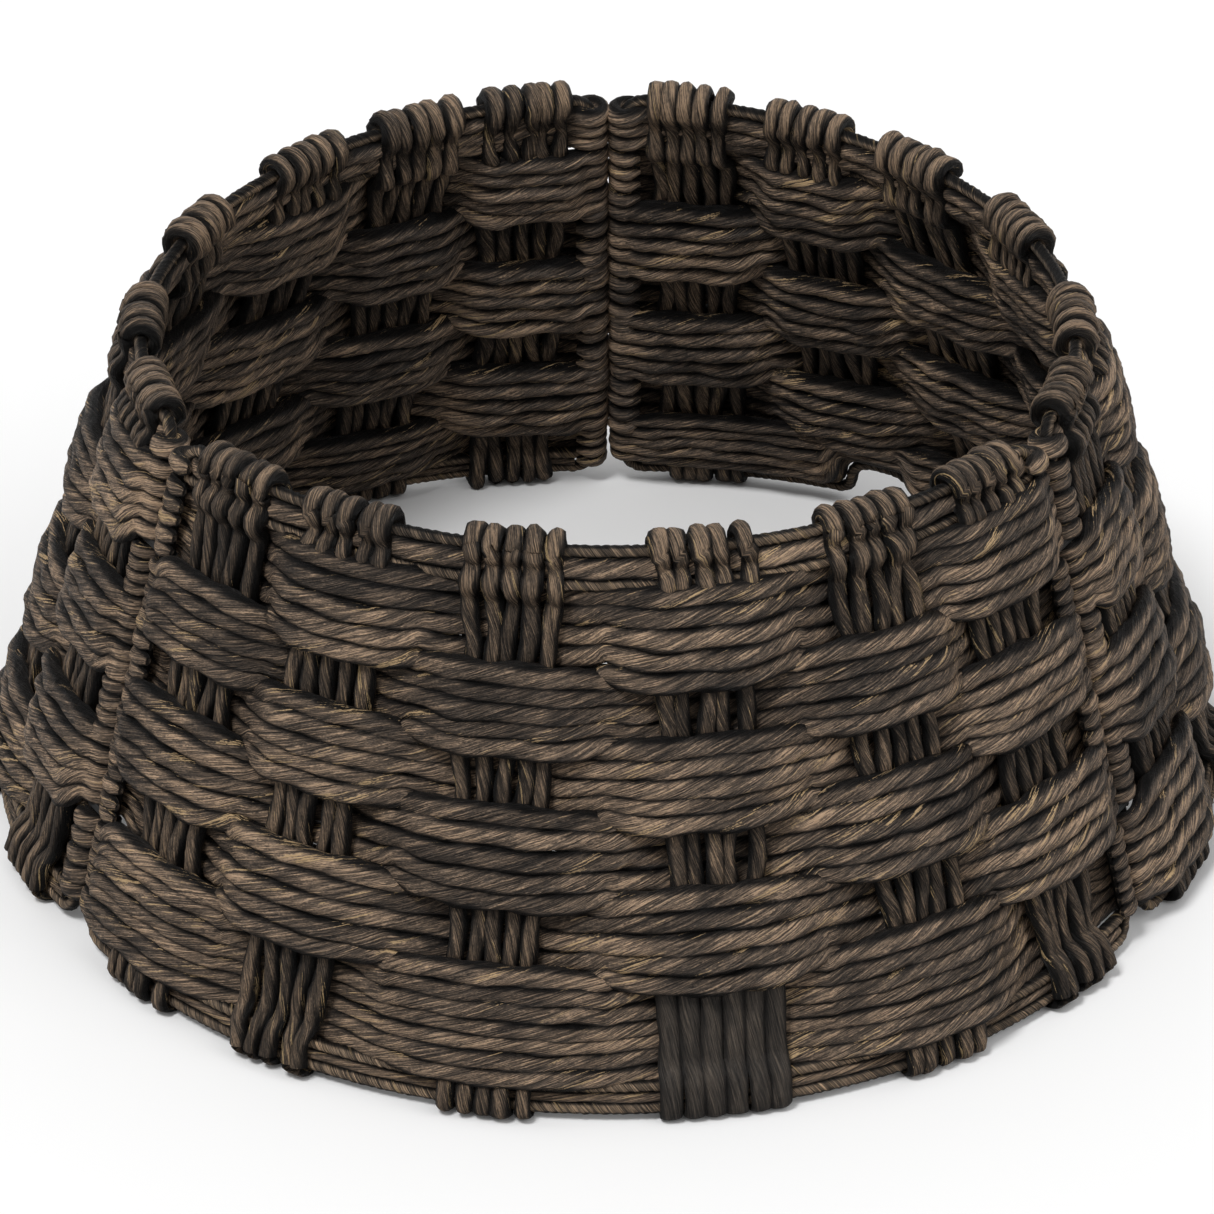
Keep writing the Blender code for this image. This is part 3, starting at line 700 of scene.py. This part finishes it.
def upright(panel, column, shift, radius, flat, strip=False):
    """One upright rope from its end behind the top rails, or one strip of the last row, to the foot."""
    middle = panel.columns[column]
    lines = [float(panel.line(line, middle)) for line in range(ROWS + 1)]
    top_side = panel.stake_side(0, column)
    foot_side = panel.stake_side(ROWS - 1, column)
    inner_top = lines[0] + RAIL_MARGIN_SHARE
    over_notch_arch = panel.notched and column == NOTCH_COLUMN
    stripped = panel is front and column == STRIP_COLUMN and not strip
    low = 0.0
    if over_notch_arch:
        low = (NOTCH_HEIGHT + FOOT_RAIL_PITCH + RAIL_RADIUS) / SLANT
    if stripped:
        low = lines[-2] - STAKE_LAP / SLANT
    high = lines[-2] + STRIP_REACH / SLANT if strip else 1.0

    height = np.linspace(high, low, STAKE_SPOTS)
    foot_pass = RAIL_RADIUS + SKIN_GAP + radius * flat
    offset = stake_offset(panel, column, height, lines, 0 if over_notch_arch or stripped else foot_pass)
    if strip:
        offset = np.where(height > lines[-2], -STRIP_RECESS, offset)
    else:
        below = soft_step((inner_top - RIM_DROP / SLANT - height) / (STAKE_SETTLE / SLANT))
        offset = mix(top_side * rim_offset(height, inner_top), offset, below)
    offset = offset + wander(height * SLANT, *STAKE_DEPTH_DRIFT)
    lateral = shift
    for length in STAKE_LEAN_LENGTHS:
        lateral = lateral + wander(height * SLANT, STRIP_LEAN if strip else STAKE_LEAN, length)
    lateral = lateral + chance.uniform(-1, 1) * (0.0 if strip else STAKE_SHIFT)
    across = middle + panel.across_share(lateral, height)
    bulge = knob(height, 1, inner_top) * (not strip)
    points = [panel.place(across, height, offset)]
    sides = [panel.normal(across, height)]
    flats = [0 * height + flat]
    widths = [radius * (1 + wander(height * SLANT, *STAKE_WIDTH_DRIFT) + bulge)]
    # Paler where the rope bulges over a rail: a painted highlight on the knobs of the rim.
    pales = [bulge * KNOB_HIGHLIGHT_PALENESS]

    if not strip:
        over, way = hook(panel, across[0], True, top_side, TOP_HOOK_RADIUS)
        round_top = 0 * way[:, 0]
        back_height = np.linspace(1, inner_top - TOP_TAIL / SLANT, TOP_TAIL_SPOTS)[1:]
        back_shift = wander(back_height, *TOP_TAIL_DRIFT) + TOP_TAIL_SHIFT
        back_across = across[0] + panel.across_share(back_shift, 1)
        tuck = mix(1, TOP_TAIL_TUCK_SHARE, soft_step((inner_top - back_height) * SLANT / TOP_TAIL))
        back = panel.place(back_across, back_height, -top_side * rim_offset(back_height, inner_top) * tuck)
        back_bulge = knob(back_height, 1, inner_top)
        back_width = radius * (TOP_TAIL_WIDTH_SHARE + back_bulge)
        points = [back[::-1], over[::-1], *points]
        sides = [panel.normal(back_across, back_height)[::-1] * -top_side, way[::-1], sides[0] * top_side]
        flats = [0 * back_height + flat, round_top + TOP_HOOK_FLAT_SHARE, *flats]
        widths = [back_width[::-1], round_top + radius * TOP_HOOK_WIDTH_SHARE, *widths]
        # The hook over the top rail is paler too, as a painted highlight.
        pales = [back_bulge[::-1] * KNOB_HIGHLIGHT_PALENESS, round_top + TOP_HOOK_HIGHLIGHT_PALENESS, *pales]
    if not (over_notch_arch or stripped):
        turn = np.linspace(0, 1, HOOK_SPOTS)
        tail_flat = min(flat, FOOT_TAIL_FLAT_SHARE)
        thin = mix(tail_flat, FOOT_HOOK_FLAT_SHARE, np.sin(turn * math.pi))
        reach = RAIL_RADIUS + SKIN_GAP + radius * thin * FOOT_HOOK_PRESS
        under, way = hook(panel, across[-1], False, foot_side, reach)
        back_height = np.linspace(0, FOOT_INNER_SHARE + FOOT_TAIL / SLANT, FOOT_TAIL_SPOTS)[1:]
        back_offset = -foot_side * np.linspace(reach[-1], FOOT_TAIL_OFFSET, FOOT_TAIL_SPOTS - 1)
        points += [under, panel.place(across[-1], back_height, back_offset)]
        sides += [way, panel.normal(across[-1], back_height) * -foot_side]
        if strip:
            sides[0] = sides[0] * foot_side
        flats += [thin, 0 * back_height + tail_flat]
        widths += [0 * turn + radius, 0 * back_height + radius]
        pales += [0 * turn + FOOT_HOOK_PALENESS, 0 * back_height + FOOT_TAIL_PALENESS]
    points = np.concatenate(points)
    reach = reach_along(points)
    from_tip = np.minimum(reach, reach[-1] - reach)
    widths = np.concatenate(widths) * mix(STAKE_TIP_SHARE, 1, soft_step(from_tip / STAKE_TIP))
    flats = np.concatenate(flats)
    pales = np.concatenate(pales)
    return strand(points, widths, np.concatenate(sides), STAKE_STEP, flats, pales)


for panel in panels:
    for column, letter in enumerate("abcdef"):
        ropes = []
        for number in range(STAKE_ROPES):
            shift = (number - (STAKE_ROPES - 1) / 2) * STAKE_ROPE_PITCH
            radius = STAKE_ROPE_RADIUS * chance.uniform(THINNEST_STAKE, THICKEST_STAKE)
            ropes.append(upright(panel, column, shift, radius, STAKE_FLAT_SHARE))
        node = f"{panel.name}_stakes_{letter}"
        sweep(f"{node}_ropes", ropes, upright_rope, panel.body, "upright_rope", node)

strips = []
for number in range(STRIPS):
    shift = (number - (STRIPS - 1) / 2) * STRIP_PITCH
    strips.append(upright(front, STRIP_COLUMN, shift, STRIP_RADIUS, STRIP_FLAT_SHARE, strip=True))
# For the strips, edges gives a weaker painted shade on their sides and painted light on their faces.
strip_look = {"straw_share": 0.2, "fibre": 8.0, "contrast": 6.0, "edges": 0.9}
flat_strip = rope_finish("flat_strip", (0.052, 0.0440, 0.0375), (0.30, 0.23, 0.14), **strip_look)
sizes = {"Twist_Pitch": 0.16, "Lobe_Depth": 0.03, "Lump_Depth": 0.24, "Sides": 16}
sweep("front_foot_strips", strips, flat_strip, front.body, "upright_rope", **sizes)


# Level ropes: rows of five to seven twisted plant-fibre ropes, woven as one band before and behind
# the upright bundles. At both ends each rope is turned round the end rod and its tip is tucked in
# on the other side, which makes the chain of knots down every seam.

ROW_SPOTS = 280
ROW_DEPTH_DRIFT = (0.0008, 0.6)
ROW_HEIGHT_DRIFT = (0.0009, 0.8)
ROW_WIDTH_DRIFT = (0.05, 0.11)
THINNEST_SHARE = 0.88
THICKEST_SHARE = 1.12
FLOAT = 0.0078
CROWN = 0.0022
SWELL_POWER = 0.6
PANEL_END_SHARE = 0.94
PANEL_END_LENGTH = 0.06
WEAVE_PASS_SHARE = 0.7
ROW_SWELL = 0.0048
HIDDEN_SWELL = 0.0046
FRONT_SWELL = 0.0034
MOST_ROPE_RADIUS = 0.0064
ROW_REACH = 0.0030
ROW_OVERLAP = 0.0012
ROPE_SHARE = 0.655
ROPE_FLAT_SHARE = 0.92
LEVEL_STEP = 0.0028
LEVEL_TIP = 0.005
LEVEL_TIP_SHARE = 0.5
ROD_PASS_START = 0.95
ROD_PASS_LENGTH = 0.05
ROD_PASS_PALENESS = 0.35
ROD_TURN_SHARE = 0.57
ROD_TURN_SLOPE = 0.3
ROD_TURN_SPOTS = 13
ROD_TURN_RADIUS = 0.0059
BACK_ROD_TURN_RADIUS = 0.0070
ROD_TURN_FLAT_SHARE = 0.70
ROD_TURN_PALENESS = 0.4
ROD_TAIL = 0.008
ROD_TAIL_OFFSET = 0.0048
ROD_TAIL_SPOTS = 6
KNOT_SWELL_SHARE = 0.35
BACK_KNOT_SWELL_SHARE = 0.8
TIED_LINES = (1, 5)
TIE_ROOM = 0.0058
CLIP_ROOM = 0.0020
TIE_ROOM_START = 0.93
TIE_ROOM_LENGTH = 0.06
NOTCH_BAND_MARGIN = 0.007
NOTCH_BAND_SETTLE = 0.013

level_rope = rope_finish("level_rope", (0.064, 0.0495, 0.0392), (0.66, 0.46, 0.25), 0.095)


def weave_offset(panel, row, across):
    """Offset of a row's middle: outside or inside each bundle, and a smooth pass between them."""
    height = float(panel.line(row, 0) + panel.line(row + 1, 0)) / 2
    half = panel.across_share(STAKE_ROPES * STAKE_ROPE_PITCH / 2, height)
    sides = [-panel.stake_side(row, column) for column in range(COLUMNS)]
    offset = sides[0] * FLOAT + 0 * across
    for column in range(1, COLUMNS):
        start = panel.columns[column - 1] + half * WEAVE_PASS_SHARE
        end = panel.columns[column] - half * WEAVE_PASS_SHARE
        offset = mix(offset, sides[column] * FLOAT, soft_step((across - start) / (end - start)))
    return offset


def nearness_to_rod(across):
    """0 along a row, 1 at the end rods, and a smooth rise beside them."""
    return soft_step((np.abs(across) - ROD_PASS_START) / ROD_PASS_LENGTH)


def turn_radius(panel, end):
    return np.where(end == panel.back_end, BACK_ROD_TURN_RADIUS, ROD_TURN_RADIUS)


def rod_turn(panel, end, side, height, slope):
    """Points and facing ways of a rope that goes round an end rod and is tucked in behind it."""
    radius = float(turn_radius(panel, end))
    level = height - slope * np.linspace(0, 1, ROD_TURN_SPOTS)
    angle = np.linspace(0, math.pi, ROD_TURN_SPOTS)
    normal = panel.normal(end, level)
    beyond = np.cross(panel.rise(end), normal) * end
    way = normal * (side * np.cos(angle))[:, None] + beyond * np.sin(angle)[:, None]
    turn = panel.point(end, level) + way * radius
    inward = np.linspace(0, ROD_TAIL, ROD_TAIL_SPOTS)[1:]
    across = end * (1 - panel.across_share(inward, level[-1]))
    depth = np.linspace(radius, ROD_TAIL_OFFSET, ROD_TAIL_SPOTS)[1:]
    tail = panel.place(across, level[-1], -side * depth)
    return np.concatenate((turn, tail)), np.concatenate((way * side, -panel.normal(across, level[-1])))


def level_strand(panel, across, height, offset, radius, ends):
    """A level rope along a panel, turned round the end rod at each of the given ends and sides."""
    near_rod = nearness_to_rod(across)
    points = panel.place(across, height, offset)
    sides = panel.normal(across, height)
    flats = mix(ROPE_FLAT_SHARE, ROD_TURN_FLAT_SHARE, near_rod)
    pales = near_rod * ROD_PASS_PALENESS
    for end, side in ends:
        at = 0 if end < 0 else -1
        slope = ROD_TURN_SLOPE * radius[at] / SLANT
        turn, facing = rod_turn(panel, end, side, height[at], slope)
        more = np.ones(len(turn))
        rows = (points, sides, flats, radius, pales)
        added = (turn, facing, more * ROD_TURN_FLAT_SHARE, more * radius[at], more * ROD_TURN_PALENESS)
        if end < 0:
            rows = [np.concatenate((new[::-1], old)) for old, new in zip(rows, added)]
        else:
            rows = [np.concatenate((old, new)) for old, new in zip(rows, added)]
        points, sides, flats, radius, pales = rows
    reach = reach_along(points)
    from_tip = np.minimum(reach, reach[-1] - reach)
    taper = mix(LEVEL_TIP_SHARE, 1, soft_step(from_tip / LEVEL_TIP))
    radius = radius * taper * (1 + wander(reach, *ROW_WIDTH_DRIFT))
    return strand(points, radius, sides, LEVEL_STEP, flats, pales)


def row_edges(panel, row, across):
    """Height shares of the upper and lower edges of a row."""
    weave = weave_offset(panel, row, across) / FLOAT
    kept = np.where(np.sign(across) == panel.back_end, BACK_KNOT_SWELL_SHARE, KNOT_SWELL_SHARE)
    inside_panel = 1 - soft_step((np.abs(across) - PANEL_END_SHARE) / PANEL_END_LENGTH) * (1 - kept)
    swell = (np.abs(weave) ** SWELL_POWER * inside_panel * ROW_SWELL + ROW_OVERLAP) / SLANT
    high = panel.line(row, across) + (swell if row else ROW_REACH / SLANT)
    low = panel.line(row + 1, across) - (swell if row < ROWS - 1 else ROW_REACH / SLANT)
    unseen = np.maximum(weave if panel.back_end else -weave, 0) ** SWELL_POWER
    if row < ROWS - 1 or panel.back_end:
        low = low - unseen * inside_panel * (HIDDEN_SWELL if panel.back_end else FRONT_SWELL) / SLANT
    for end in (-1, 1):
        room = (CLIP_ROOM if end == panel.back_end else TIE_ROOM) / SLANT
        near = soft_step((across * end - TIE_ROOM_START) / TIE_ROOM_LENGTH)
        high = high - near * (room if row in TIED_LINES else 0)
        low = low + near * (room if row + 1 in TIED_LINES else 0)
    if panel.notched and row == ROWS - 1:
        crown = (NOTCH_HEIGHT + FOOT_RAIL_PITCH + RAIL_RADIUS - FOOT_LEVEL) / SLANT
        away = np.abs(across - NOTCH_MIDDLE_SHARE) / panel.across_share(1, 0)
        raised = 1 - soft_step((away - (NOTCH_CROWN_WIDTH / 2 + NOTCH_BAND_MARGIN)) / NOTCH_BAND_SETTLE)
        low = mix(low, np.maximum(low, crown), raised)
    return high, low


for panel in panels:
    for row, count in enumerate(panel.counts):
        across = np.linspace(-1, 1, ROW_SPOTS)
        high, low = row_edges(panel, row, across)
        shares = np.cumsum((0, *chance.uniform(THINNEST_SHARE, THICKEST_SHARE, count)))
        shares = shares / shares[-1]
        weave = weave_offset(panel, row, across)
        swell = np.abs(weave) / FLOAT
        near_rod = nearness_to_rod(across)
        ends = [(-1, -panel.stake_side(row, 0)), (1, -panel.stake_side(row, COLUMNS - 1))]
        beside_rod = np.where(across < 0, ends[0][1], ends[1][1]) * turn_radius(panel, np.sign(across))
        ropes = []
        for first, last in zip(shares, shares[1:]):
            middle = (first + last) / 2
            height = mix(high, low, middle) + wander(across, *ROW_HEIGHT_DRIFT) / SLANT
            offset = weave * (1 + swell * (1 - (2 * middle - 1) ** 2) * CROWN / FLOAT)
            offset = mix(offset + wander(across, *ROW_DEPTH_DRIFT), beside_rod, near_rod)
            share = mix(ROPE_SHARE, ROD_TURN_SHARE, near_rod)
            radius = np.minimum((high - low) * SLANT * (last - first) * share, MOST_ROPE_RADIUS)
            ropes.append(level_strand(panel, across, height, offset, radius, ends))
        node = f"{panel.name}_weaver_row_{row + 1}"
        sweep(f"{node}_ropes", ropes, level_rope, panel.body, "level_rope", node)


# Filling ropes: level ropes that fill the space between the two rails of the rim, where more of
# them join in as the space widens to the back seam, and a thin one between the two foot rails.

RIM_ROPES = 3
RIM_ROPE_PITCH = 0.0082
RIM_ROPE_SPARE = 0.27
RIM_ROPE_START = 0.25
RIM_ROPE_SHARE = 0.65
MOST_RIM_ROPE_RADIUS = 0.0062
RIM_ROPE_RECESS = 0.001
LOWEST_ROPE_GAP = 0.002
FOOT_FILL_RADIUS = 0.0031
FOOT_FILL_CUT = 4

for panel in panels:
    across = np.linspace(-1, 1, ROW_SPOTS)
    inner = panel.line(0, across) + RAIL_MARGIN_SHARE
    room = (1 - inner) * SLANT - 2 * RAIL_RADIUS
    abreast = np.maximum(room / RIM_ROPE_PITCH - RIM_ROPE_SPARE, 1)
    ropes = []
    for number in range(RIM_ROPES):
        there = abreast > number + RIM_ROPE_START
        if there.any():
            spots = across[there]
            depth = np.minimum(room * (number + 0.5) / abreast, room - LOWEST_ROPE_GAP)
            height = 1 - (RAIL_RADIUS + depth)[there] / SLANT
            radius = np.minimum(room / abreast * RIM_ROPE_SHARE, MOST_RIM_ROPE_RADIUS)[there]
            ends = [(end, -1) for end in (-1, 1) if end in spots]
            offset = wander(spots, *ROW_DEPTH_DRIFT) - RIM_ROPE_RECESS
            offset = mix(offset, -turn_radius(panel, np.sign(spots)), nearness_to_rod(spots))
            ropes.append(level_strand(panel, spots, height, offset, radius, ends))
    path = np.stack((across, 0 * across + FOOT_INNER_SHARE / 2), axis=-1)[FOOT_FILL_CUT:-FOOT_FILL_CUT]
    if panel.notched:
        path = over_notch(panel, path, FOOT_RAIL_PITCH / 2)
    across, height = path.T
    facing = panel.normal(across, height)
    ropes.append(strand(panel.place(across, height), FOOT_FILL_RADIUS, facing, LEVEL_STEP))
    sweep(f"{panel.name}_filling_ropes", ropes, level_rope, panel.body, "level_rope")


# Ties: black cord bound round the two end rods of each front seam, above and below the middle.
# They hold the side panels to the front panel and let them turn.

TIE_HEIGHT = 0.0050
TIE_CORD_RADIUS = 0.0008
TIE_TURNS = 3
TIE_RADIUS = ROD_RADIUS + SKIN_GAP + TIE_CORD_RADIUS
TIE_SPOTS = 9
TIE_STEP = 0.0012

tie_cord = wire_finish("tie_cord", (0.012, 0.012, 0.012), 0.5, 0.0)


def seam_axes(first_panel, second_panel, line):
    """Origin between the two rods of a seam at a row line, and its ways across, outwards and up."""
    height = float(first_panel.line(line, 1))
    first = first_panel.point(1, height)[0]
    second = second_panel.point(-1, height)[0]
    upward = first_panel.rise(1)[0]
    across = unit(second - first)
    return (first + second) / 2, across, np.cross(upward, across), upward


def place_on_seam(axes, spots):
    origin, across, beside, upward = axes
    return origin + spots[:, :1] * across + spots[:, 1:2] * beside + spots[:, 2:] * upward


for seam, pair in (("left", (left, front)), ("right", (front, right))):
    for line, level in zip(TIED_LINES, ("upper", "lower")):
        axes = seam_axes(*pair, line)
        outline = []
        for end, start in ((1, -math.pi / 2), (-1, math.pi / 2)):
            for angle in np.linspace(start, start + math.pi, TIE_SPOTS):
                x = end * ROD_SPACING / 2 + TIE_RADIUS * math.cos(angle)
                outline.append((x, TIE_RADIUS * math.sin(angle)))
        coil = np.array(outline * TIE_TURNS + outline[:1])
        rise = np.linspace(-1, 1, len(coil)) * (TIE_HEIGHT / 2 - TIE_CORD_RADIUS)
        path = place_on_seam(axes, np.column_stack((coil, rise)))
        bound = strand(path, TIE_CORD_RADIUS, np.broadcast_to(axes[3], path.shape), TIE_STEP)
        node = f"{seam}_hinge_tie_{level}"
        sweep(f"{node}_cord", [bound], tie_cord, front.body, "tie_cord", node, Sides=8, Lump_Depth=0.05)


# Clips: two bent steel wires at the back seam. Each is hooked round the left panel's rod, and its
# open cradle takes the right panel's rod.

CLIP_WIRE_RADIUS = 0.0008
CLIP_ARM = ROD_RADIUS + SKIN_GAP + CLIP_WIRE_RADIUS
CLIP_STEP = 0.001
HOOKED_DEGREES = (-30, -270)
CRADLE_DEGREES = (75, -75)

clip_wire = wire_finish("clip_wire", (0.30, 0.285, 0.26), 0.35, 0.9)

for line, level in zip(TIED_LINES, ("upper", "lower")):
    axes = seam_axes(right, left, line)
    hooked = np.radians(np.linspace(*HOOKED_DEGREES, 17))
    cradle = np.radians(np.linspace(*CRADLE_DEGREES, 13))
    hooked_x = ROD_SPACING / 2 + CLIP_ARM * np.cos(hooked)
    cradle_x = CLIP_ARM * np.cos(cradle) - ROD_SPACING / 2
    x = np.concatenate((hooked_x, cradle_x))
    y = np.concatenate((CLIP_ARM * np.sin(hooked), CLIP_ARM * np.sin(cradle)))
    path = place_on_seam(axes, np.column_stack((x, y, 0 * x)))
    bent = strand(path, CLIP_WIRE_RADIUS, np.broadcast_to(axes[3], path.shape), CLIP_STEP)
    node = f"back_clip_{level}"
    sizes = {"Sides": 8, "Lobe_Depth": 0.0, "Lump_Depth": 0.0}
    sweep(f"{node}_wire", [bent], clip_wire, left.body, "clip_wire", node, **sizes)


# Floor, light and camera: a pale studio floor and soft light from above and from the front left,
# seen from the photograph's place, in front of the collar and well above it.

FLOOR_SIZE = 30.0
FLOOR_WHITE = 0.95
FLOOR_BOUNCE = 0.35
SKY_LIGHT = 0.55
SKY_SEEN_MORE = 0.45


def floor_finish():
    """Pale matt floor, which looks white to the camera and throws back little light."""
    finish = bpy.data.materials.new("studio_floor")
    finish.use_nodes = True
    shader = finish.node_tree.nodes["Principled BSDF"]
    graph = Graph(finish.node_tree)
    seen = graph.node("ShaderNodeLightPath", output="Is Camera Ray")
    tones = {0: seen, 6: (*[FLOOR_BOUNCE] * 3, 1), 7: (*[FLOOR_WHITE] * 3, 1)}
    tone = graph.node("ShaderNodeMix", tones, 2, data_type="RGBA")
    finish.node_tree.links.new(tone.socket, shader.inputs["Base Color"])
    shader.inputs["Roughness"].default_value = 0.9
    shader.inputs["Specular IOR Level"].default_value = 0.0
    return finish


half = FLOOR_SIZE / 2
floor_mesh = bpy.data.meshes.new("studio_floor")
floor_corners = [(-half, -half, 0), (half, -half, 0), (half, half, 0), (-half, half, 0)]
floor_mesh.from_pydata(floor_corners, [], [(0, 1, 2, 3)])
floor_mesh.materials.append(floor_finish())
studio_floor = bpy.data.objects.new("studio_floor", floor_mesh)
bpy.context.scene.collection.objects.link(studio_floor)
studio_floor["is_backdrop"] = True

world = bpy.data.worlds.new("studio")
bpy.context.scene.world = world
world.use_nodes = True
sky = Graph(world.node_tree)
seen = sky.node("ShaderNodeLightPath", output="Is Camera Ray")
strength = SKY_LIGHT + SKY_SEEN_MORE * seen
background = world.node_tree.nodes["Background"]
background.inputs["Color"].default_value = (1, 1, 1, 1)
world.node_tree.links.new(strength.socket, background.inputs["Strength"])

for name, spot, strength, spread in (
    ("key_light", (-0.9, -1.3, 2.9), 1.7, 16),
    ("fill_light", (1.9, -1.2, 2.2), 0.4, 40),
):
    lamp = bpy.data.lights.new(name, "SUN")
    lamp.energy = strength
    lamp.angle = math.radians(spread)
    light = bpy.data.objects.new(name, lamp)
    light.location = spot
    aim = -np.array(spot)
    light.rotation_euler = (math.acos(-aim[2] / np.linalg.norm(aim)), 0, math.atan2(-aim[0], aim[1]))
    bpy.context.scene.collection.objects.link(light)

lens = bpy.data.cameras.new("photo_camera")
lens.lens = 216.86
lens.sensor_width = 36.0
lens.shift_x = -0.00115
camera = bpy.data.objects.new("photo_camera", lens)
camera.location = (0, -3.3306, 2.1085)
camera.rotation_euler = (math.radians(58.94), 0, 0)
bpy.context.scene.collection.objects.link(camera)
bpy.context.scene.camera = camera
bpy.context.scene.view_settings.view_transform = "Standard"

low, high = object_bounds()
